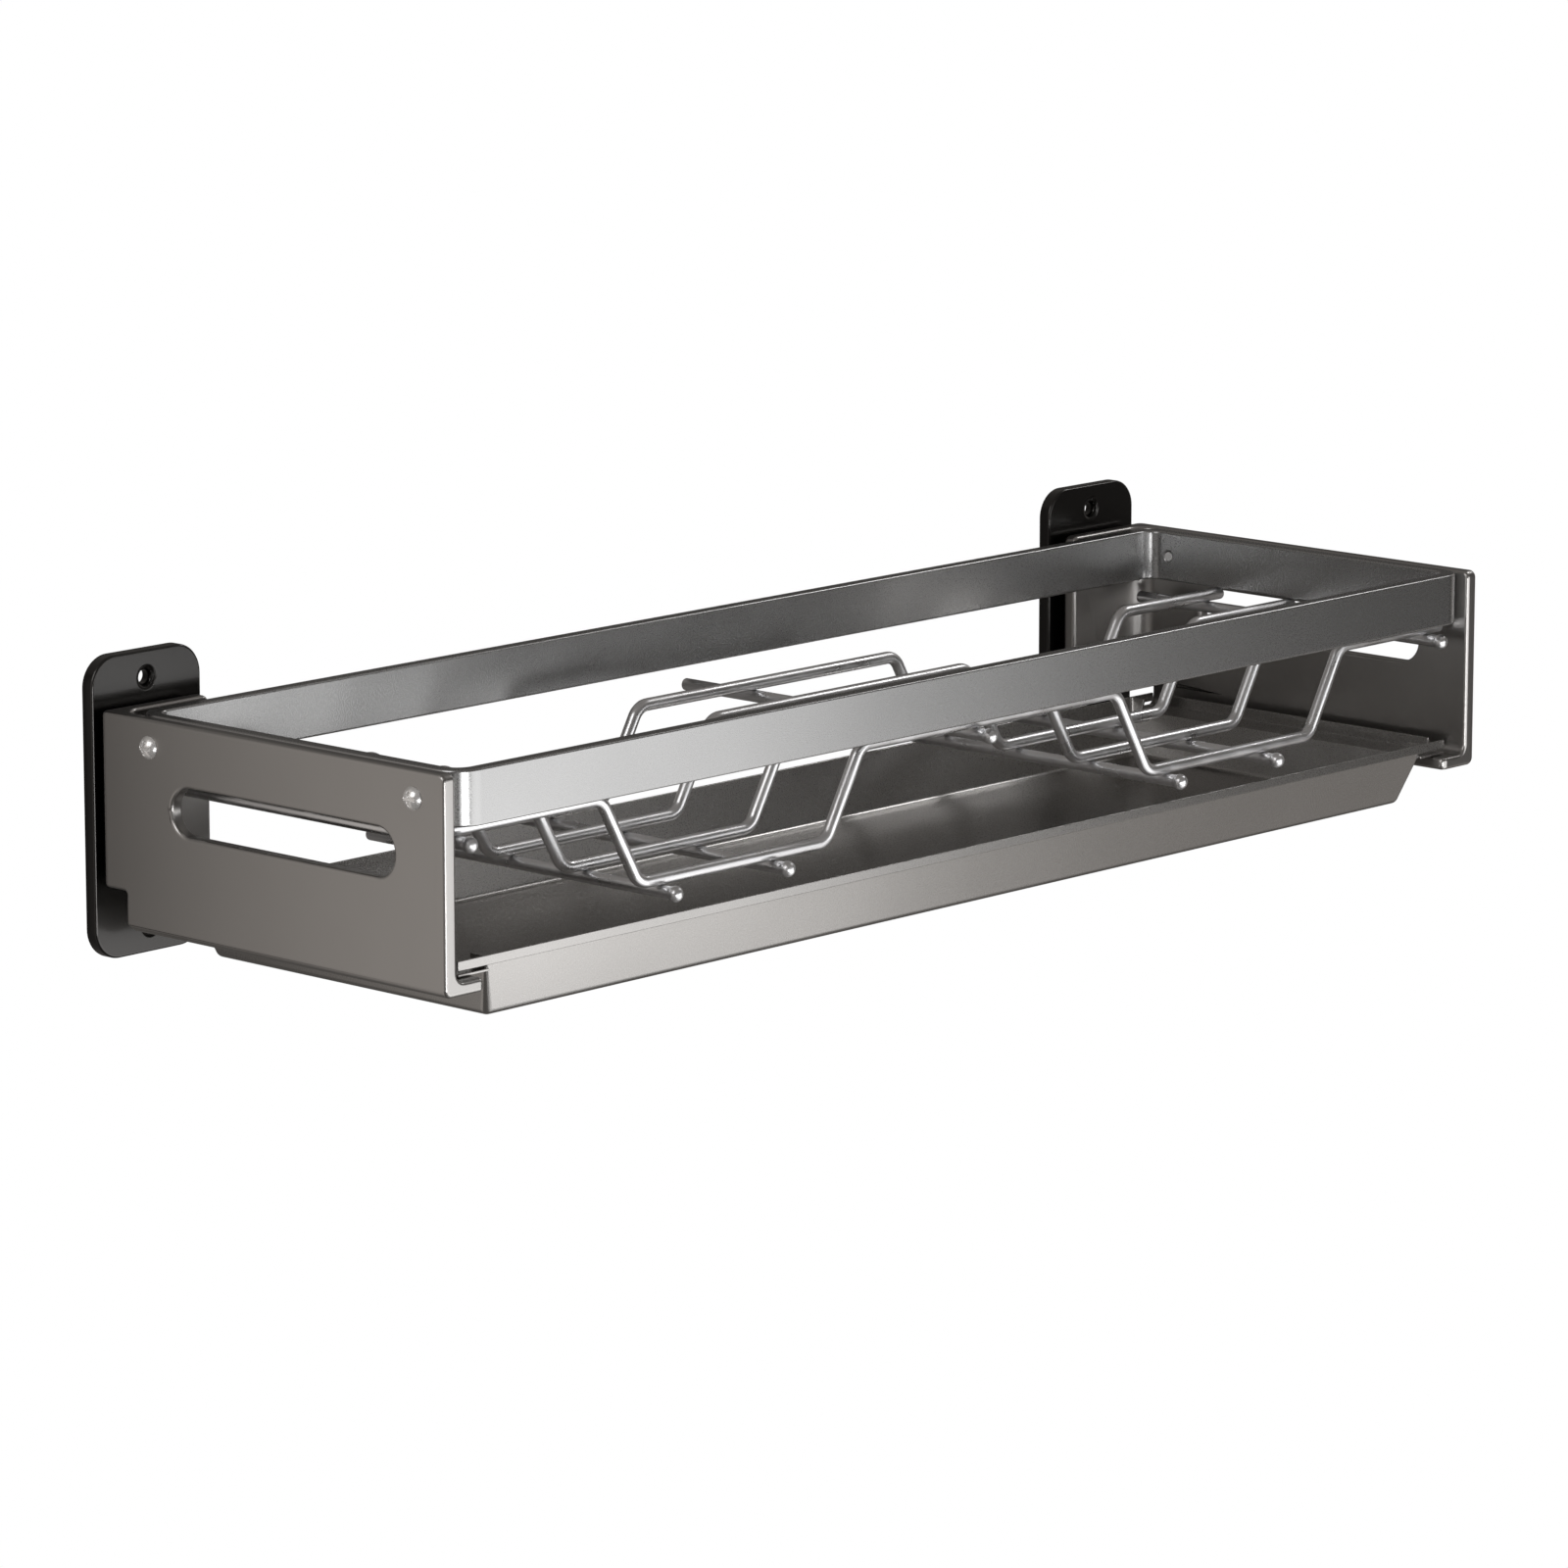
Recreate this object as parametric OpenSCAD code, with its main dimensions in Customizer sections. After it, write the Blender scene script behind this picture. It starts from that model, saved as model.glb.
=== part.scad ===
// Wall dish rack. Two wall plates carry two side panels, which hold a flat-bar top frame,
// a welded wire grid for plates and a drip tray that slides out over the panels' feet.
// X runs along the wall to the right, Y points into the wall and Z is up. The origin lies on the
// wall, in the middle of the four wall-screw holes.

/* [Rack] */
// Overall width, outer face to outer face of the side panels
rack_w = 600; // [400:5:900]

/* [Side panels] */
// Height of a side panel
panel_h = 82; // [70:1:110]
// Depth of a side panel, rear edge to front edge
panel_d = 183; // [160:1:240]
// Thickness of a side panel
panel_t = 6; // [4:0.5:8]
// How far the foot reaches inward from the panel
foot_w = 14.5; // [12:0.5:20]
// Thickness of the foot
foot_t = 5; // [3:0.5:7]
// How far the rear flange reaches inward from the panel
flange_w = 44; // [40:1:60]
// Thickness of the rear flange
flange_t = 6; // [4:0.5:8]
// Depth of the notch at the rear lower corner
notch_d = 13; // [8:0.5:20]
// Height of the notch at the rear lower corner
notch_h = 15; // [10:0.5:22]
// Radius of the panel's front top corner
panel_corner_r = 3; // [1:0.5:6]

/* [Panel slot] */
// Length of the slot
slot_len = 118; // [60:1:130]
// Height of the slot
slot_h = 18.4; // [10:0.2:24]
// Panel's front edge to the slot
slot_front = 26; // [20:1:40]
// Middle of the slot above the panel's bottom
slot_rise = 49.4; // [40:0.2:52]

/* [Top frame] */
// Height of the flat bar
rail_h = 21; // [15:0.5:25]
// Thickness of the flat bar
rail_t = 6; // [4:0.5:8]
// Outer corner radius of the frame
rail_r = 12; // [9:0.5:14]
// Gap between the frame and the rear flanges
rail_rear_gap = 5; // [4:0.5:9]
// Gap between the frame and each side panel
rail_side_gap = 0.8; // [0.3:0.1:1]

/* [Wall plates] */
// Width of a wall plate
plate_w = 55; // [50:1:70]
// Height of a wall plate
plate_h = 116; // [110:1:150]
// Thickness of a wall plate
plate_t = 6; // [4:0.5:8]
// Gap between a wall plate and the side panel in front of it
plate_gap = 4; // [2:0.5:6]
// How far a wall plate reaches below the side panel
plate_drop = 15; // [12:0.5:18]
// Corner radius of a wall plate
plate_r = 12; // [6:0.5:16]
// Wall-screw hole
wall_hole_d = 5.4; // [4:0.1:6]
// Countersink of the wall-screw hole
wall_sink_d = 8.4; // [7:0.1:10]
// Wall-screw hole to the plate's top and bottom edges
wall_hole_inset = 10.5; // [8:0.5:12]

/* [Hanging studs] */
// Shank of a hanging stud
stud_d = 5; // [4:0.5:6]
// Head of a hanging stud
stud_head_d = 9; // [8:0.5:11]
// Height of the stud's head
stud_head_h = 2.2; // [1.5:0.1:3]
// Collar that keeps the panel off the plate
stud_collar_d = 11; // [9:0.5:14]
// Lower stud above the panel's bottom
stud_rise = 26; // [24:1:32]
// Distance between the two studs of a plate
stud_pitch = 46; // [38:1:48]
// Entry hole of a keyhole below the stud
keyhole_drop = 8; // [7:0.5:10]

/* [Frame screws] */
// Shank of a frame screw
screw_d = 4; // [3:0.5:5]
// Head of a frame screw
screw_head_d = 9; // [7:0.5:10]
// Height of the screw's domed head
screw_head_h = 3; // [2:0.2:4]
// Frame screw to the front and rear ends of the frame
screw_inset = 16; // [14:0.5:24]

/* [Wire grid] */
// Diameter of a cross wire
wire_d = 5; // [3:0.5:6]
// Diameter of a rod that runs front to back
rod_d = 5; // [3:0.5:6]
// Ball on a rod's front end
ball_d = 6.2; // [6:0.1:8]
// Panel's front edge to the middle of the ball
rod_front = 5; // [3:0.5:8]
// Gap between the rods' rear ends and the rear flanges
rod_rear_gap = 9; // [4:0.5:30]
// Outer upper rods to the rack's outer faces
upper_rod_inset = 17.5; // [15:0.5:24]
// Distance between the two rods of a pair
rod_pair_w = 61; // [40:1:70]
// Height of a lower rod's middle above the panel's bottom
lower_rod_rise = 18.7; // [15:0.1:24]
// Panel's front edge to the first cross wire
wire_front = 12; // [10:0.5:20]
// Distance between neighbouring cross wires
wire_pitch = 39.2; // [24:0.2:45]
// Bend radius of the cross wires, at the wire's middle
wire_bend_r = 8; // [5:0.5:10]
// Width of a plate bay at the top
bay_top_w = 141.5; // [120:0.5:150]
// Width of a plate bay at the bottom
bay_low_w = 102; // [90:0.5:115]
// Distance between the middles of the two plate bays, and of their rod pairs
bay_pitch = 291; // [200:1:300]
// How far the plate bays sit to the right of the rack's middle
bay_shift = 8; // [-10:0.5:10]

/* [Drip tray] */
// Panel's front edge to the tray's front
tray_front = 6; // [4:0.5:12]
// Gap between the tray's rear edge and the rear flanges
tray_rear_gap = 12; // [9:0.5:30]
// Depth of the tray's basin, rim to underside
tray_h = 24.8; // [15:0.1:30]
// Height of the tray's rim above the feet
tray_stand = 6.2; // [5:0.1:8]
// Thickness of the tray's sheet
tray_t = 1; // [0.8:0.1:1.5]
// How much the front and rear walls lean in
tray_lean_y = 6.2; // [3:0.1:12]
// How much the side walls lean in
tray_lean_x = 6.5; // [3:0.1:12]
// Radius between the tray's walls and its floor
tray_floor_r = 3.5; // [2.5:0.5:5]
// Height of the bands along the tray's front and rear edges
tray_band_h = 3.6; // [2:0.1:4.5]
// Tray's front and rear edges to the lips along its sides
tray_lip_inset = 8; // [7:0.5:20]
// Side gap between the tray's basin and the feet
tray_side_gap = 5.5; // [1:0.1:7]
// Side gap between the tray's shelves and the panels
tray_edge_gap = 6.3; // [1:0.1:8]

/* [Hidden] */

$fn = 48;
over = 1;             // overrun of every cut past the face that it opens
hull_fn = 32;         // steps round the solids inside a hull
fit_gap = 0.1;        // radial clearance of a shank in its hole
weld_gap = 0.05;      // seam between pieces that are welded together
slide_gap = 0.3;      // clearance between the tray's shelves and the feet
foot_fillet = 4;      // fillet between the web and its foot
flange_fillet = 8;    // fillet between the web and its rear flange
panel_bend_r = 3.2;   // outer radius of the bends to the foot and the rear flange
foot_end_r = 1.6;     // rounding of the foot's free end
foot_corner_r = 3;    // radius of the foot's front corner, seen from above
flange_corner_r = 3;  // rounding of the flange's free corners
notch_r = 1.5;        // rounding in the notch
notch_toe_r = 3.5;    // rounding of the corner under the notch
sink_h = 1.6;         // depth of the wall holes' countersinks
keyhole_gap = 0.2;    // clearance of a stud in its keyhole, all round
head_gap = 0.2;       // clearance between a stud's head and the flange
recess_w = 1.1;       // width of the screws' cross recess
recess_share = 0.62;  // length of the cross recess, as a share of the head
recess_h = 1.3;       // depth of the cross recess
tray_corner_r = 1.2;  // radius of the basin's upright corners
rod_end_r = 0.8;      // rounding of a rod's rear end
bend_lap = 0.2;       // how far a straight stretch of wire reaches into the bend after it
bend_swell = 0.02;    // how much thicker the wire is in its bends

// Places that follow from the sizes above
rear_y = -(plate_t + plate_gap);
front_y = rear_y - panel_d;
bottom_z = plate_drop - plate_h / 2;
top_z = bottom_z + panel_h;
outer_x = rack_w / 2;
inner_x = outer_x - panel_t;
plate_x = outer_x - plate_w / 2;
wall_hole_z = plate_h / 2 - wall_hole_inset;
frame_x = inner_x - rail_side_gap;
frame_d = panel_d - flange_t - rail_rear_gap;
frame_z = top_z - rail_h;
wire_z = frame_z - weld_gap - wire_d / 2;
upper_rod_z = wire_z - wire_d / 2 - weld_gap - rod_d / 2;
lower_rod_z = bottom_z + lower_rod_rise;
bay_low_z = lower_rod_z + rod_d / 2 + weld_gap + wire_d / 2;
wire_end_x = frame_x - rail_t / 2;
rod_len = panel_d - flange_t - rod_rear_gap - rod_front;
tray_y = front_y + tray_front;
tray_d = panel_d - flange_t - tray_rear_gap - tray_front;
shelf_z = bottom_z + foot_t + slide_gap;
rim_z = bottom_z + foot_t + tray_stand;
basin_x = inner_x - foot_w - tray_side_gap;
tray_x = inner_x - tray_edge_gap;
shelf_in = basin_x - tray_lean_x * (rim_z - shelf_z) / tray_h - tray_t / 2;

// Rectangle from the origin with rounded corners, made of true arcs
module round_rect(w, h, r) {
    translate([r, 0]) square([w - 2 * r, h]);
    translate([0, r]) square([w, h - 2 * r]);
    for (x = [r, w - r], y = [r, h - r]) translate([x, y]) circle(r);
}

// What a rounded convex corner at the origin loses, with the solid along +X and +Y
module corner_loss(r) {
    difference() {
        translate([-over, -over]) square(r + over);
        translate([r, r]) circle(r);
    }
}

// What a fillet adds in a concave corner at the origin, along +X and +Y
module corner_fill(r) {
    difference() {
        square(r);
        translate([r, r]) circle(r);
    }
}

// Stands a shape drawn in Y and Z up in that plane, and extrudes it along +X
module along_x(length) {
    rotate([90, 0, 90]) linear_extrude(length) children();
}

// Stands a shape drawn in X and Z up in that plane, and extrudes it along -Y
module along_y(length) {
    rotate([90, 0, 0]) linear_extrude(length) children();
}

// The web and foot in section, from the left: X from the outer face, Z from the bottom
module panel_section() {
    difference() {
        union() {
            square([panel_t, panel_h]);
            square([panel_t + foot_w, foot_t]);
        }
        corner_loss(panel_bend_r);
        translate([panel_t + foot_w, 0]) mirror([1, 0]) corner_loss(foot_end_r);
        translate([panel_t + foot_w, foot_t]) rotate(180) corner_loss(foot_end_r);
    }
    translate([panel_t, foot_t]) corner_fill(foot_fillet);
}

// The rear flange in plan: X from the outer face, Y from the flange's front face
module flange_plan() {
    translate([panel_t / 2, 0]) square([panel_t / 2 + flange_w, flange_t]);
    translate([panel_t, 0]) mirror([0, 1]) corner_fill(flange_fillet);
}

// The notch seen from the side: Y from the panel's rear edge, Z from its bottom
module notch_outline() {
    difference() {
        translate([-notch_d, -over]) square([notch_d + over, notch_h + over]);
        translate([-notch_d, notch_h]) mirror([0, 1]) corner_fill(notch_r);
    }
}

// One keyhole seen from the front, with its stud at the origin
module keyhole() {
    neck_d = stud_d + 2 * keyhole_gap;
    circle(d = neck_d);
    translate([-neck_d / 2, -keyhole_drop]) square([neck_d, keyhole_drop]);
    translate([0, -keyhole_drop]) circle(d = stud_head_d + 4 * keyhole_gap);
}

// The slot seen from the side, with full-round ends, from the middle of its front end
module slot_outline() {
    run = slot_len - slot_h;
    translate([0, -slot_h / 2]) square([run, slot_h]);
    for (end = [0, run]) translate([end, 0]) circle(d = slot_h);
}

// The left panel. The right one is its mirror image.
module side_panel() {
    difference() {
        union() {
            translate([-outer_x, rear_y, bottom_z]) along_y(panel_d) panel_section();
            translate([-outer_x, rear_y - flange_t, bottom_z + notch_h])
                linear_extrude(panel_h - notch_h) flange_plan();
        }
        translate([-outer_x, rear_y, bottom_z - over]) linear_extrude(panel_h + 2 * over)
            mirror([0, 1]) corner_loss(panel_bend_r);
        translate([-outer_x - over, front_y, top_z]) along_x(panel_t + 2 * over)
            mirror([0, 1]) corner_loss(panel_corner_r);
        translate([-outer_x - over, rear_y, bottom_z]) along_x(panel_t + flange_w + 2 * over) {
            notch_outline();
            translate([-notch_d, 0]) mirror([1, 0]) corner_loss(notch_toe_r);
        }
        translate([-outer_x - over, front_y + slot_front + slot_h / 2, bottom_z + slot_rise])
            along_x(panel_t + 2 * over) slot_outline();
        translate([-inner_x + flange_w, rear_y + over, 0]) along_y(flange_t + 2 * over) {
            translate([0, top_z]) rotate(180) corner_loss(flange_corner_r);
            translate([0, bottom_z + notch_h]) mirror([1, 0]) corner_loss(flange_corner_r);
        }
        translate([-inner_x + foot_w, front_y, bottom_z - over]) linear_extrude(foot_t + 2 * over)
            mirror([1, 0]) corner_loss(foot_corner_r);
        for (z = [stud_rise, stud_rise + stud_pitch])
            translate([-plate_x, rear_y + over, bottom_z + z]) along_y(flange_t + 2 * over) keyhole();
        for (y = screw_places())
            translate([-outer_x - over, y, frame_z + rail_h / 2]) rotate([0, 90, 0])
                cylinder(d = screw_d + 2 * fit_gap, h = panel_t + 2 * over);
    }
}

// Where the frame screws sit along Y
function screw_places() = [front_y + screw_inset, front_y + frame_d - screw_inset];

module frame_plan(inset) {
    translate([inset - frame_x, front_y + inset])
        round_rect(2 * (frame_x - inset), frame_d - 2 * inset, rail_r - inset);
}

module top_frame() {
    color("#7c7b7c") difference() {
        translate([0, 0, frame_z]) linear_extrude(rail_h) difference() {
            frame_plan(0);
            frame_plan(rail_t);
        }
        for (side = [-1, 1], y = screw_places())
            translate([side * (frame_x - rail_t / 2), y, frame_z + rail_h / 2]) rotate([0, 90, 0])
                cylinder(d = screw_d + 2 * fit_gap, h = rail_t + 2 * over, center = true);
    }
}

// The left wall plate, drilled for its studs and its two wall screws
module wall_plate() {
    difference() {
        translate([-outer_x, 0, -plate_h / 2]) along_y(plate_t) round_rect(plate_w, plate_h, plate_r);
        for (z = [-wall_hole_z, wall_hole_z]) translate([-plate_x, 0, z]) rotate([90, 0, 0]) {
            translate([0, 0, -over]) cylinder(d = wall_hole_d, h = plate_t + 2 * over);
            translate([0, 0, plate_t - sink_h])
                cylinder(d1 = wall_hole_d, d2 = wall_sink_d, h = sink_h);
        }
        for (z = [stud_rise, stud_rise + stud_pitch])
            translate([-plate_x, over, bottom_z + z]) rotate([90, 0, 0])
                cylinder(d = stud_d + 2 * fit_gap, h = plate_t + 2 * over);
    }
}

// A stud seen from its root in the wall plate: shank, collar, neck and head, along +Z
module stud() {
    cylinder(d = stud_d, h = plate_t + plate_gap + flange_t + head_gap + stud_head_h);
    translate([0, 0, plate_t]) cylinder(d = stud_collar_d, h = plate_gap);
    translate([0, 0, plate_t + plate_gap + flange_t + head_gap])
        cylinder(d1 = stud_head_d, d2 = stud_head_d - stud_head_h, h = stud_head_h);
}

module hanging_studs() {
    for (z = [stud_rise, stud_rise + stud_pitch])
        translate([-plate_x, 0, bottom_z + z]) rotate([90, 0, 0]) stud();
}

// A frame screw along +X, with the underside of its head at the origin
module frame_screw() {
    dome_r = (pow(screw_head_d / 2, 2) + pow(screw_head_h, 2)) / (2 * screw_head_h);
    rotate([0, 90, 0]) cylinder(d = screw_d, h = panel_t + rail_side_gap + rail_t);
    difference() {
        rotate([0, -90, 0]) intersection() {
            cylinder(d = screw_head_d, h = screw_head_h);
            translate([0, 0, screw_head_h - dome_r]) sphere(dome_r, $fn = 96);
        }
        for (turn = [0, 90]) translate([-screw_head_h, 0, 0]) rotate([turn, 0, 0])
            cube([2 * recess_h, screw_head_d * recess_share, recess_w], center = true);
    }
}

module placed_screw(place) {
    translate([-outer_x, screw_places()[place], frame_z + rail_h / 2]) frame_screw();
}

// A wire bent in the XZ plane through the given corners, with one radius at every bend
function heading(a, b) = atan2(b[1] - a[1], b[0] - a[0]);
function turn(p, i) = heading(p[i], p[i + 1]) - heading(p[i - 1], p[i]);
function setback(p, i, r) = (i == 0 || i == len(p) - 1) ? 0 : r * tan(abs(turn(p, i)) / 2);
function step_to(p, h, d) = [p[0] + d * cos(h), p[1] + d * sin(h)];

module bent_wire(p, r, d) {
    for (i = [0 : len(p) - 2]) {
        h = heading(p[i], p[i + 1]);
        before = i == 0 ? 0 : setback(p, i, r) - bend_lap;
        after = i == len(p) - 2 ? 0 : setback(p, i + 1, r) - bend_lap;
        from = step_to(p[i], h, before);
        length = norm(p[i + 1] - p[i]) - before - after;
        translate([from[0], 0, from[1]]) rotate([0, 90 - h, 0]) cylinder(d = d - bend_swell, h = length);
    }
    for (i = [1 : len(p) - 2]) {
        h = heading(p[i - 1], p[i]);
        side = sign(turn(p, i));
        start = step_to(p[i], h, -setback(p, i, r));
        middle = step_to(start, h + 90 * side, r);
        translate([middle[0], 0, middle[1]]) rotate([90, 0, 0])
            rotate(side > 0 ? h - 90 : h + 90 + turn(p, i))
            rotate_extrude(angle = abs(turn(p, i))) translate([r, 0]) circle(d = d);
    }
}

// One plate bay's four corners, left to right
function bay_corners(x) = [
    [x - bay_top_w / 2, wire_z], [x - bay_low_w / 2, bay_low_z],
    [x + bay_low_w / 2, bay_low_z], [x + bay_top_w / 2, wire_z]
];

module cross_wire(number) {
    corners = concat(
        [[-wire_end_x, wire_z]],
        bay_corners(bay_shift - bay_pitch / 2), bay_corners(bay_shift + bay_pitch / 2),
        [[wire_end_x, wire_z]]
    );
    color("#c9c8c8") translate([0, front_y + wire_front + (number - 1) * wire_pitch, 0])
        bent_wire(corners, wire_bend_r, wire_d);
}

// A rod from the middle of its front ball backwards, with a rounded rear end
module rod(x, z) {
    color("#c9c8c8") translate([x, front_y + rod_front, z]) rotate([-90, 0, 0]) {
        sphere(d = ball_d);
        rotate_extrude() {
            square([rod_d / 2, rod_len - rod_end_r]);
            square([rod_d / 2 - rod_end_r, rod_len]);
            translate([rod_d / 2 - rod_end_r, rod_len - rod_end_r]) circle(rod_end_r);
        }
    }
}

module upper_rod(side) {
    rod(side * (outer_x - upper_rod_inset), upper_rod_z);
}

module lower_rod(number) {
    pair = number < 3 ? -1 : 1;
    side = number % 2 == 1 ? -1 : 1;
    rod(pair * bay_pitch / 2 + side * rod_pair_w / 2, lower_rod_z);
}

// The basin's body, drawn in by a margin all round: four upright corners at the rim and four
// balls at the floor
module basin_form(margin, top) {
    rim_in = margin + tray_corner_r;
    hull() {
        for (side = [-1, 1], end = [0, 1])
            translate([
                side * (basin_x - rim_in),
                tray_y + rim_in + end * (tray_d - 2 * rim_in),
                top - over
            ]) cylinder(r = tray_corner_r, h = over, $fn = hull_fn);
        for (side = [-1, 1], end = [0, 1])
            translate([
                side * (basin_x - tray_lean_x - tray_floor_r),
                tray_y + tray_lean_y + tray_floor_r + end * (tray_d - 2 * (tray_lean_y + tray_floor_r)),
                rim_z - tray_h + tray_floor_r
            ]) sphere(tray_floor_r - margin, $fn = hull_fn);
    }
}

// What stiffens the basin: a shelf along each side that slides on a foot, with a lip along its
// outer edge, and an upright band along the front and the rear
module tray_edges() {
    for (side = [-1, 1]) {
        translate([side * (tray_x + shelf_in) / 2, tray_y + tray_d / 2, shelf_z + tray_t / 2])
            cube([tray_x - shelf_in, tray_d, tray_t], center = true);
        translate([side * (tray_x - tray_t / 2), tray_y + tray_d / 2, (shelf_z + rim_z) / 2])
            cube([tray_t, tray_d - 2 * tray_lip_inset, rim_z - shelf_z], center = true);
    }
    for (y = [tray_y, tray_y + tray_d - tray_t])
        translate([-tray_x, y, rim_z - tray_band_h]) cube([2 * tray_x, tray_t, tray_band_h]);
}

module drip_tray() {
    color("#a8a3a2") difference() {
        union() {
            basin_form(0, rim_z);
            tray_edges();
        }
        basin_form(tray_t, rim_z + over);
        translate([tray_t - tray_x, tray_y + tray_lip_inset, shelf_z + tray_t])
            cube([2 * (tray_x - tray_t), tray_d - 2 * tray_lip_inset, rim_z - shelf_z]);
    }
}

// Everything on the right is the left side's mirror image
module right_side() {
    mirror([1, 0, 0]) children();
}

panel_colour = "#75716e";
plate_colour = "#4a4846";
chrome_colour = "#d8d8da";

color(panel_colour) side_panel();  // side_panel_left
color(panel_colour) right_side() side_panel();  // side_panel_right
top_frame();
color(plate_colour) wall_plate();  // wall_plate_left
color(plate_colour) right_side() wall_plate();  // wall_plate_right
color(chrome_colour) hanging_studs();  // hanging_studs_left
color(chrome_colour) right_side() hanging_studs();  // hanging_studs_right
color(chrome_colour) placed_screw(0);  // frame_screw_left_front
color(chrome_colour) placed_screw(1);  // frame_screw_left_rear
color(chrome_colour) right_side() placed_screw(0);  // frame_screw_right_front
color(chrome_colour) right_side() placed_screw(1);  // frame_screw_right_rear
cross_wire(1);  // cross_wire_1
cross_wire(2);  // cross_wire_2
cross_wire(3);  // cross_wire_3
cross_wire(4);  // cross_wire_4
upper_rod(-1);  // upper_rod_left
upper_rod(0);  // upper_rod_middle
upper_rod(1);  // upper_rod_right
lower_rod(1);  // lower_rod_1
lower_rod(2);  // lower_rod_2
lower_rod(3);  // lower_rod_3
lower_rod(4);  // lower_rod_4
drip_tray();
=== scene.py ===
"""A wall dish rack, dressed for a plain pale studio.

Lengths are metres in the rack's own frame: X along the wall, Y into the wall, Z up, with the
origin on the wall in the middle of the four wall-screw holes.
"""

import math

import bpy
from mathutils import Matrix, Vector


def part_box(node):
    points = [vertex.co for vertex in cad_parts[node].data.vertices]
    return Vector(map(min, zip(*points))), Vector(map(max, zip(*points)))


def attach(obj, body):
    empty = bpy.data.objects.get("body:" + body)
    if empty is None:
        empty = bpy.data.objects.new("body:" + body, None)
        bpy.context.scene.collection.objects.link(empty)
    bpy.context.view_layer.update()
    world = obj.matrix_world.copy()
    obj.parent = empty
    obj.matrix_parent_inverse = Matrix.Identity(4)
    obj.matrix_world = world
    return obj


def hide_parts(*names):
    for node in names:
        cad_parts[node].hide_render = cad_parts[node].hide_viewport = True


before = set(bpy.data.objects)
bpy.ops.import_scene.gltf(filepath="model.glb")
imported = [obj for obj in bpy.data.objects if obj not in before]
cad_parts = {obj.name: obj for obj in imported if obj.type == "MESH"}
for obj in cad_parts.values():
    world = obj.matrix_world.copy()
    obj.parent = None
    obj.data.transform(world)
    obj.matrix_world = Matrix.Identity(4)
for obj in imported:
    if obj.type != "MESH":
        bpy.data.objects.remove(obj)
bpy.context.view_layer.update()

MM = 0.001


# Camera: the photograph's viewing angle, found from the rack's own edges
CAMERA_PLACE = (-2.0678, -2.0022, 0.5392)
CAMERA_YAW = 47.079
CAMERA_PITCH = -11.264
CAMERA_LENS = 166.32
SENSOR = 36.0


def make_camera():
    camera = bpy.data.objects.new("camera", bpy.data.cameras.new("camera"))
    camera.location = CAMERA_PLACE
    camera.rotation_euler = (math.radians(90 + CAMERA_PITCH), 0, math.radians(-CAMERA_YAW))
    camera.data.sensor_width = SENSOR
    camera.data.lens = CAMERA_LENS
    bpy.context.scene.collection.objects.link(camera)
    bpy.context.scene.camera = camera


# Materials: noise scales are repeats per metre of the rack
CLOUD_SCALE, CLOUD_DETAIL = 9, 3
FLAKE_SCALE, FLAKE_DETAIL = 2600, 2
HAZE_SCALE, HAZE_DETAIL = 60, 5
NOISE_LOW, NOISE_HIGH = 0.3, 0.7  # most of a noise's values lie between these
FLAKE_GLOSS = 0.015  # how far flake takes a coat's roughness to either side
FLAKE_RELIEF, FLAKE_DEPTH = 0.008, 0.03 * MM
COAT_ROUGHNESS = 0.12
HAZE_TONE = 0.94
HAZE_LOW, HAZE_HIGH = 0.7, 1.3  # times a polished metal's roughness


class Nodes:
    """A material's node tree, with short calls to add and join nodes."""

    def __init__(self, name):
        self.material = bpy.data.materials.new(name)
        self.material.use_nodes = True
        self.tree = self.material.node_tree
        self.shader = self.tree.nodes["Principled BSDF"]
        self.surface = self.tree.nodes["Material Output"].inputs["Surface"]

    def add(self, kind, **settings):
        node = self.tree.nodes.new(kind)
        for name, value in settings.items():
            setattr(node, name, value)
        return node

    def join(self, output, target):
        self.tree.links.new(output, target)

    def feed(self, output, name):
        """Joins an output to one of the shader's sockets."""
        self.join(output, self.shader.inputs[name])

    def set(self, name, value):
        self.shader.inputs[name].default_value = value

    def noise(self, scale, detail):
        """Noise over the rack's own coordinates."""
        texture = self.add("ShaderNodeTexNoise")
        texture.inputs["Scale"].default_value = scale
        texture.inputs["Detail"].default_value = detail
        self.join(self.add("ShaderNodeTexCoord").outputs["Object"], texture.inputs["Vector"])
        return texture.outputs["Fac"]

    def spread(self, value, low, high, start=NOISE_LOW, end=NOISE_HIGH):
        """Maps start..end of a value to low..high."""
        node = self.add("ShaderNodeMapRange")
        node.inputs["From Min"].default_value = start
        node.inputs["From Max"].default_value = end
        node.inputs["To Min"].default_value = low
        node.inputs["To Max"].default_value = high
        self.join(value, node.inputs["Value"])
        return node.outputs["Result"]

    def blend(self, amount, first, second):
        """A colour between two, by amount."""
        node = self.add("ShaderNodeMix", data_type="RGBA")
        node.inputs["A"].default_value = (*first, 1)
        node.inputs["B"].default_value = (*second, 1)
        self.join(amount, node.inputs["Factor"])
        return node.outputs["Result"]

    def bump(self, height, strength, distance):
        node = self.add("ShaderNodeBump")
        node.inputs["Strength"].default_value = strength
        node.inputs["Distance"].default_value = distance
        self.join(height, node.inputs["Height"])
        self.feed(node.outputs["Normal"], "Normal")


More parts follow.
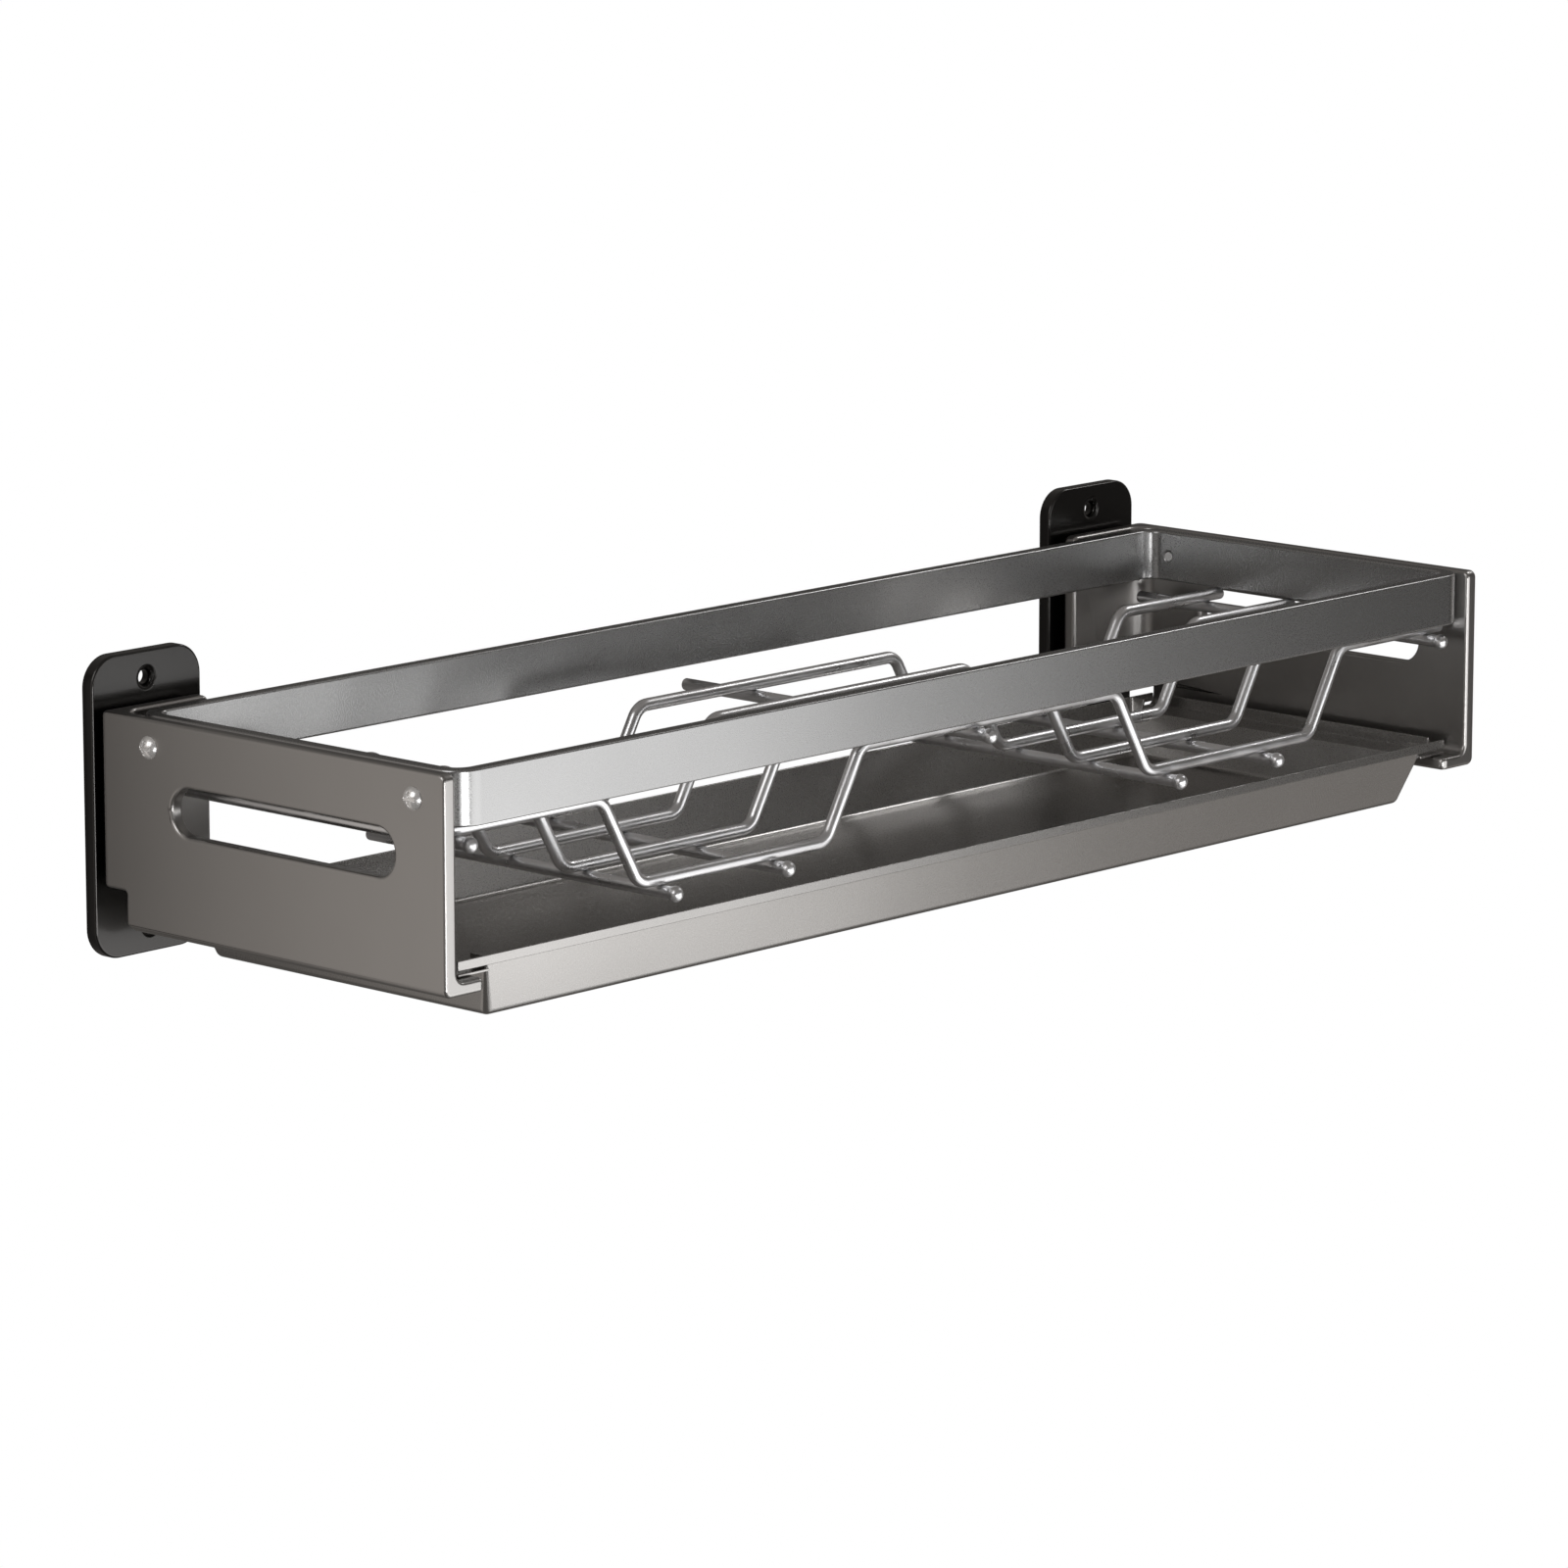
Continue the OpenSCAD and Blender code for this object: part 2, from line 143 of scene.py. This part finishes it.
def satin_metal(name, dark, light, roughness, coat):
    """Satin sheet metal: faint clouding, and a fine grain of flake in its gloss and relief."""
    m = Nodes(name)
    cloud = m.noise(CLOUD_SCALE, CLOUD_DETAIL)
    m.feed(m.blend(m.spread(cloud, 0, 1), dark, light), "Base Color")
    flake = m.noise(FLAKE_SCALE, FLAKE_DETAIL)
    m.feed(m.spread(flake, roughness - FLAKE_GLOSS, roughness + FLAKE_GLOSS), "Roughness")
    m.set("Metallic", 1.0)
    m.set("Coat Weight", coat)
    m.set("Coat Roughness", COAT_ROUGHNESS)
    m.bump(flake, FLAKE_RELIEF, FLAKE_DEPTH)
    return m.material


def polished_metal(name, tone, roughness, metal=1.0):
    """Bare or plated metal, with a faint haze in its tone and gloss."""
    m = Nodes(name)
    haze = m.noise(HAZE_SCALE, HAZE_DETAIL)
    dark = tuple(level * HAZE_TONE for level in tone)
    m.feed(m.blend(m.spread(haze, 0, 1), dark, tone), "Base Color")
    m.feed(m.spread(haze, roughness * HAZE_LOW, roughness * HAZE_HIGH), "Roughness")
    m.set("Metallic", metal)
    return m.material


PANEL = satin_metal("panel_satin", (0.38, 0.37, 0.36), (0.42, 0.41, 0.40), roughness=0.30, coat=0.2)
BAR = satin_metal("bar_satin", (0.40, 0.40, 0.40), (0.44, 0.44, 0.44), roughness=0.28, coat=0.2)
TRAY = satin_metal("tray_satin", (0.40, 0.39, 0.38), (0.44, 0.43, 0.42), roughness=0.28, coat=0.2)
PLATE = satin_metal(
    "plate_satin", (0.032, 0.030, 0.029), (0.044, 0.042, 0.040), roughness=0.30, coat=0.5
)
CHROME = polished_metal("wire_chrome", (0.80, 0.80, 0.81), roughness=0.32)
NICKEL = polished_metal("stud_nickel", (0.88, 0.87, 0.86), roughness=0.2)
SCREW = polished_metal("screw_satin", (0.97, 0.96, 0.95), roughness=0.3, metal=0.7)


# Pieces that keep their CAD solids: rounded edges and a finish
WELD_GAP = 0.002 * MM
FLAT_ANGLE = 0.4  # degrees up to which neighbouring faces count as one flat face
EDGE_ANGLE = 35  # degrees from which an edge counts as sharp
FACE_WEIGHT = 100


def keep_inside(node):
    """Holds a node's rounded surface inside the solid's own box."""
    spots = [vertex.co for vertex in node.data.vertices]
    group = bpy.data.node_groups.new("inside_" + node.name, "GeometryNodeTree")
    for way in ("INPUT", "OUTPUT"):
        group.interface.new_socket("Geometry", in_out=way, socket_type="NodeSocketGeometry")
    start = group.nodes.new("NodeGroupInput")
    end = group.nodes.new("NodeGroupOutput")
    held = group.nodes.new("GeometryNodeInputPosition").outputs["Position"]
    for operation, pick in (("MAXIMUM", min), ("MINIMUM", max)):
        limit = group.nodes.new("ShaderNodeVectorMath")
        limit.operation = operation
        limit.inputs[1].default_value = [pick(spot[i] for spot in spots) for i in range(3)]
        group.links.new(held, limit.inputs[0])
        held = limit.outputs["Vector"]
    place = group.nodes.new("GeometryNodeSetPosition")
    group.links.new(start.outputs["Geometry"], place.inputs["Geometry"])
    group.links.new(held, place.inputs["Position"])
    group.links.new(place.outputs["Geometry"], end.inputs["Geometry"])
    node.modifiers.new("inside", "NODES").node_group = group


def finish_node(name, material, edge, segments=3, join_faces=True):
    """Gives a CAD node its finish, and rounds its sharp edges by edge millimetres."""
    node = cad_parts[name]
    node.data.materials.clear()
    node.data.materials.append(material)
    weld = node.modifiers.new("weld", "WELD")
    weld.merge_threshold = WELD_GAP
    if join_faces:
        flat = node.modifiers.new("flat", "DECIMATE")
        flat.decimate_type = "DISSOLVE"
        flat.angle_limit = math.radians(FLAT_ANGLE)
    bevel = node.modifiers.new("edges", "BEVEL")
    bevel.width = edge * MM
    bevel.segments = segments
    bevel.limit_method = "ANGLE"
    bevel.angle_limit = math.radians(EDGE_ANGLE)
    bevel.use_clamp_overlap = False
    bevel.harden_normals = False
    keep_inside(node)
    normals = node.modifiers.new("normals", "WEIGHTED_NORMAL")
    normals.keep_sharp = False
    normals.weight = FACE_WEIGHT


def finish_nodes():
    for side in ("left", "right"):
        finish_node("side_panel_" + side, PANEL, 1.5, segments=4)
        finish_node("wall_plate_" + side, PLATE, 1.05, segments=4)
        finish_node("hanging_studs_" + side, NICKEL, 0.3)
        for end in ("front", "rear"):
            finish_node("frame_screw_%s_%s" % (side, end), SCREW, 0.2)
    finish_node("top_frame", BAR, 0.9)
    # Joined faces would leave a dark triangle on the tray's thin shelves.
    finish_node("drip_tray", TRAY, 0.25, join_faces=False)


# Wires and rods, swept and turned as single smooth surfaces
WIRE_R = 2.5 * MM
WIRE_SIDES = 24
# Eased ends: depth from the wire's end, and how much less the radius is there
WIRE_EASE = ((0.0, 0.5 * MM), (0.15 * MM, 0.15 * MM), (0.5 * MM, 0.0))
BEND_R = 8 * MM
BEND_STEP = 6.0  # degrees
BAY_TOP = 141.5 * MM
BAY_LOW = 102 * MM
BAY_PITCH = 291 * MM
BAY_SHIFT = 8 * MM

ROD_R = 2.5 * MM
ROD_SIDES = 32
ROD_END_R = 0.8 * MM
ROD_END_STEPS = 6
BALL_R = 3.1 * MM
BALL_STEPS = 14
NECK = 0.98  # the ball's radius where the neck starts, as a share of the rod's
NECK_LENGTH = 0.5 * MM


def mesh_piece(name, vertices, faces, node):
    """A smooth chromed piece that takes the place of a CAD node."""
    mesh = bpy.data.meshes.new(name)
    mesh.from_pydata(vertices, [], faces)
    mesh.validate()
    mesh.polygons.foreach_set("use_smooth", [True] * len(mesh.polygons))
    mesh.materials.append(CHROME)
    piece = bpy.data.objects.new(name, mesh)
    bpy.context.scene.collection.objects.link(piece)
    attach(piece, "rack")
    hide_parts(node)


def skin(count, sides):
    """Faces over count rings of vertices, with a flat face at each end."""
    faces = []
    for i in range(0, (count - 1) * sides, sides):
        for k in range(sides):
            n = (k + 1) % sides
            faces.append((i + k, i + n, i + sides + n, i + sides + k))
    faces.append(tuple(reversed(range(sides))))
    faces.append(tuple(range((count - 1) * sides, count * sides)))
    return faces


def rounded_path(corners, radius):
    """Points along a line of corners in X and Z, with an arc of one radius at each bend."""
    points = [corners[0]]
    for before, corner, after in zip(corners, corners[1:], corners[2:]):
        back = (before - corner).normalized()
        ahead = (after - corner).normalized()
        turn = math.pi - back.angle(ahead)
        setback = radius * math.tan(turn / 2)
        middle = corner + (back + ahead).normalized() * radius / math.cos(turn / 2)
        start = corner + back * setback - middle
        sense = 1 if back.cross(ahead) < 0 else -1
        steps = max(2, math.ceil(math.degrees(turn) / BEND_STEP))
        for i in range(steps + 1):
            angle = sense * turn * i / steps
            turned_start = Vector((
                start.x * math.cos(angle) - start.y * math.sin(angle),
                start.x * math.sin(angle) + start.y * math.cos(angle),
            ))
            points.append(middle + turned_start)
    points.append(corners[-1])
    return points


def wire_along(path, y):
    """Vertices and faces of a wire along a path in X and Z at one Y."""
    rings = []
    last = len(path) - 1
    for i, point in enumerate(path):
        ahead = (path[min(i + 1, last)] - path[max(i - 1, 0)]).normalized()
        if i == 0:
            rings += [(point + ahead * depth, ahead, WIRE_R - less) for depth, less in WIRE_EASE]
        elif i == last:
            ease = reversed(WIRE_EASE)
            rings += [(point - ahead * depth, ahead, WIRE_R - less) for depth, less in ease]
        else:
            rings.append((point, ahead, WIRE_R))
    vertices = []
    for point, ahead, r in rings:
        across = Vector((-ahead.y, ahead.x))
        for k in range(WIRE_SIDES):
            a = 2 * math.pi * k / WIRE_SIDES
            spot = point + across * r * math.cos(a)
            vertices.append((spot.x, y - r * math.sin(a), spot.y))
    return vertices, skin(len(rings), WIRE_SIDES)


def cross_wire(number):
    """A wire from side to side, bent down into a bay on the left and one on the right."""
    name = "cross_wire_%d" % number
    low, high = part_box(name)
    top = high.z - WIRE_R
    bottom = low.z + WIRE_R
    corners = [Vector((low.x, top))]
    for x in (BAY_SHIFT - BAY_PITCH / 2, BAY_SHIFT + BAY_PITCH / 2):
        corners.append(Vector((x - BAY_TOP / 2, top)))
        corners.append(Vector((x - BAY_LOW / 2, bottom)))
        corners.append(Vector((x + BAY_LOW / 2, bottom)))
        corners.append(Vector((x + BAY_TOP / 2, top)))
    corners.append(Vector((high.x, top)))
    vertices, faces = wire_along(rounded_path(corners, BEND_R), (low.y + high.y) / 2)
    mesh_piece("bent_wire_%d" % number, vertices, faces, name)


def turned(profile, x, z):
    """Vertices and faces of a profile of (y, radius) pairs, turned about an axis along Y."""
    vertices = []
    for y, r in profile:
        for k in range(ROD_SIDES):
            a = 2 * math.pi * k / ROD_SIDES
            vertices.append((x + r * math.cos(a), y, z - r * math.sin(a)))
    return vertices, skin(len(profile), ROD_SIDES)


def rod(name):
    """A rod with a ball on its front end, a short neck behind the ball, and a rounded rear end."""
    low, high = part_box(name)
    ball = low.y + BALL_R
    join = math.asin(ROD_R * NECK / BALL_R)
    profile = []
    for i in range(1, BALL_STEPS + 1):
        a = (math.pi - join) * i / BALL_STEPS
        profile.append((ball - BALL_R * math.cos(a), BALL_R * math.sin(a)))
    profile.append((ball + BALL_R * math.cos(join) + NECK_LENGTH, ROD_R))
    end = high.y - ROD_END_R
    profile.append((end, ROD_R))
    for i in range(1, ROD_END_STEPS + 1):
        a = math.pi / 2 * i / ROD_END_STEPS
        profile.append((end + ROD_END_R * math.sin(a), ROD_R - ROD_END_R * (1 - math.cos(a))))
    vertices, faces = turned(profile, (low.x + high.x) / 2, (low.z + high.z) / 2)
    mesh_piece("ball_" + name, vertices, faces, name)


def make_wires():
    for number in (1, 2, 3, 4):
        cross_wire(number)
        rod("lower_rod_%d" % number)
    for place in ("left", "middle", "right"):
        rod("upper_rod_" + place)


# Studio: a pale floor, a white surround, plain walls for the metal to mirror, and soft lamps
FLOOR_Z = -1.0
FLOOR_SIZE = 12
FLOOR_TONE = (0.85, 0.85, 0.85)
FLOOR_ROUGHNESS = 0.8
SURROUND = (0.30, 0.30, 0.31)
ROOM = 3.0  # from the middle of the room to its walls
WIDE = 2 * ROOM
CEILING_Z = 2.0
ABOVE_FLOOR = FLOOR_Z + 0.01

# Plain cards: name, middle, facing, width, height, level of grey
CARDS = (
    ("card_front", (0, -ROOM, 0.5), (0, 1, 0), WIDE, 3, 0.11),
    ("card_right", (ROOM, 0, 0.5), (-1, 0, 0), WIDE, 3, 0.07),
    ("card_left", (-ROOM, 0, 0.5), (1, 0, 0), WIDE, 3, 0.12),
    ("card_rear", (0, ROOM, 0.5), (0, -1, 0), WIDE, 3, 0.08),
    ("card_above", (0, 0, CEILING_Z), (0, 0, -1), WIDE, WIDE, 0.2),
    ("card_below", (0, 0, ABOVE_FLOOR), (0, 0, 1), WIDE, WIDE, 0.12),
    ("card_low", (1.6, -1.0, -0.9), (0, 0, 1), 1.6, 1.4, 0.3),
    ("card_side_right", (2.6, 0, 0.3), (-1, 0, 0), 1.7, 1.8, 0.34),
    ("card_side_left", (-2.6, -0.3, 0.3), (1, 0, 0), 2.0, 1.8, 0.45),
    ("card_back", (0, 2.6, 0.3), (0, -1, 0), 1.7, 1.8, 0.34),
)

# The glowing card that the left panel mirrors, with painted shade along X from near to far: bright
# at WALL_NEAR_X, darker towards the rack at WALL_FAR_X, standing in for the wall's shadow by the
# rack
WALL_CARD = ("card_wall", (-0.75, 0.02, -0.05), (0, -1, 0), 0.86, 1.0)
WALL_NEAR, WALL_NEAR_X = 0.53, -0.465
WALL_FAR, WALL_FAR_X = 0.19, -0.33

# Lamps: name, place, aim, width, height, power
LAMPS = (
    ("front_right", (0.23, -1.15, -0.30), (-0.2, -0.2, 0), 1.1, 1.1, 6.4),
    ("low_right", (0.10, -0.58, -0.55), (-0.1, -0.19, -0.05), 0.78, 0.5, 0.85),
    ("near_camera", (-0.75, -1.5, -0.33), (0, -0.15, 0), 0.6, 0.5, 6),
    ("high_right", (1.1, -0.3, 0.9), (0, -0.15, 0), 0.3, 0.25, 1.6),
    ("high_left", (-1.6, -0.3, 1.0), (-0.3, -0.1, 0), 0.9, 0.9, 6),
)


def warm(level):
    """A slightly warm grey."""
    return (level, level * 0.94, level * 0.89)


def see_white(tree, plain, output, kind):
    """Joins a plain shader to an output, and shows white to the camera, in mirrors and through
    glass, from a node of the given kind.
    """
    ray = tree.nodes.new("ShaderNodeLightPath")
    seen = ray.outputs["Is Camera Ray"]
    for other in ("Is Glossy Ray", "Is Transmission Ray"):
        most = tree.nodes.new("ShaderNodeMath")
        most.operation = "MAXIMUM"
        tree.links.new(seen, most.inputs[0])
        tree.links.new(ray.outputs[other], most.inputs[1])
        seen = most.outputs["Value"]
    white = tree.nodes.new(kind)
    white.inputs["Color"].default_value = (1, 1, 1, 1)
    mix = tree.nodes.new("ShaderNodeMixShader")
    tree.links.new(seen, mix.inputs["Fac"])
    tree.links.new(plain, mix.inputs[1])
    tree.links.new(white.outputs[0], mix.inputs[2])
    tree.links.new(mix.outputs["Shader"], output)


def stage_plane(name, middle, facing, width, height):
    mesh = bpy.data.meshes.new(name)
    x, y = width / 2, height / 2
    mesh.from_pydata([(-x, -y, 0), (x, -y, 0), (x, y, 0), (-x, y, 0)], [], [(0, 1, 2, 3)])
    plane = bpy.data.objects.new(name, mesh)
    plane.location = middle
    plane.rotation_euler = Vector(facing).to_track_quat("Z", "Y").to_euler()
    bpy.context.scene.collection.objects.link(plane)
    return plane


def make_floor():
    floor = stage_plane("floor", (0, 0, FLOOR_Z), (0, 0, 1), FLOOR_SIZE, FLOOR_SIZE)
    m = Nodes("floor_white")
    m.set("Base Color", (*FLOOR_TONE, 1))
    m.set("Roughness", FLOOR_ROUGHNESS)
    see_white(m.tree, m.shader.outputs["BSDF"], m.surface, "ShaderNodeEmission")
    floor.data.materials.append(m.material)


def make_world():
    world = bpy.data.worlds.new("studio")
    world.use_nodes = True
    bpy.context.scene.world = world
    tree = world.node_tree
    background = tree.nodes["Background"]
    background.inputs["Color"].default_value = (*SURROUND, 1)
    surface = tree.nodes["World Output"].inputs["Surface"]
    see_white(tree, background.outputs["Background"], surface, "ShaderNodeBackground")


def glow_card(name, middle, facing, width, height):
    """A card that the metal mirrors and the camera looks through: its nodes, and its colour."""
    plane = stage_plane(name, middle, facing, width, height)
    plane.visible_camera = False
    plane.visible_shadow = False
    m = Nodes(name)
    glow = m.add("ShaderNodeEmission")
    m.join(glow.outputs["Emission"], m.surface)
    plane.data.materials.append(m.material)
    return m, glow.inputs["Color"]


def make_cards():
    for *where, level in CARDS:
        _, colour = glow_card(*where)
        colour.default_value = (*warm(level), 1)
    m, colour = glow_card(*WALL_CARD)
    # Painted shade: the card's glow falls along X from the near level to the far level, darker
    # towards the rack
    parts = m.add("ShaderNodeSeparateXYZ")
    m.join(m.add("ShaderNodeNewGeometry").outputs["Position"], parts.inputs["Vector"])
    ramp = m.spread(parts.outputs["X"], 0, 1, WALL_NEAR_X, WALL_FAR_X)
    m.join(m.blend(ramp, warm(WALL_NEAR), warm(WALL_FAR)), colour)


def lamp(name, place, aim, width, height, power):
    data = bpy.data.lights.new(name, "AREA")
    data.shape = "RECTANGLE"
    data.size = width
    data.size_y = height
    data.energy = power
    light = bpy.data.objects.new(name, data)
    light.location = place
    light.rotation_euler = (Vector(aim) - Vector(place)).to_track_quat("-Z", "Y").to_euler()
    light.visible_camera = False
    bpy.context.scene.collection.objects.link(light)


finish_nodes()
make_wires()
make_camera()
make_floor()
make_world()
make_cards()
for settings in LAMPS:
    lamp(*settings)

bpy.context.scene.view_settings.view_transform = "Standard"
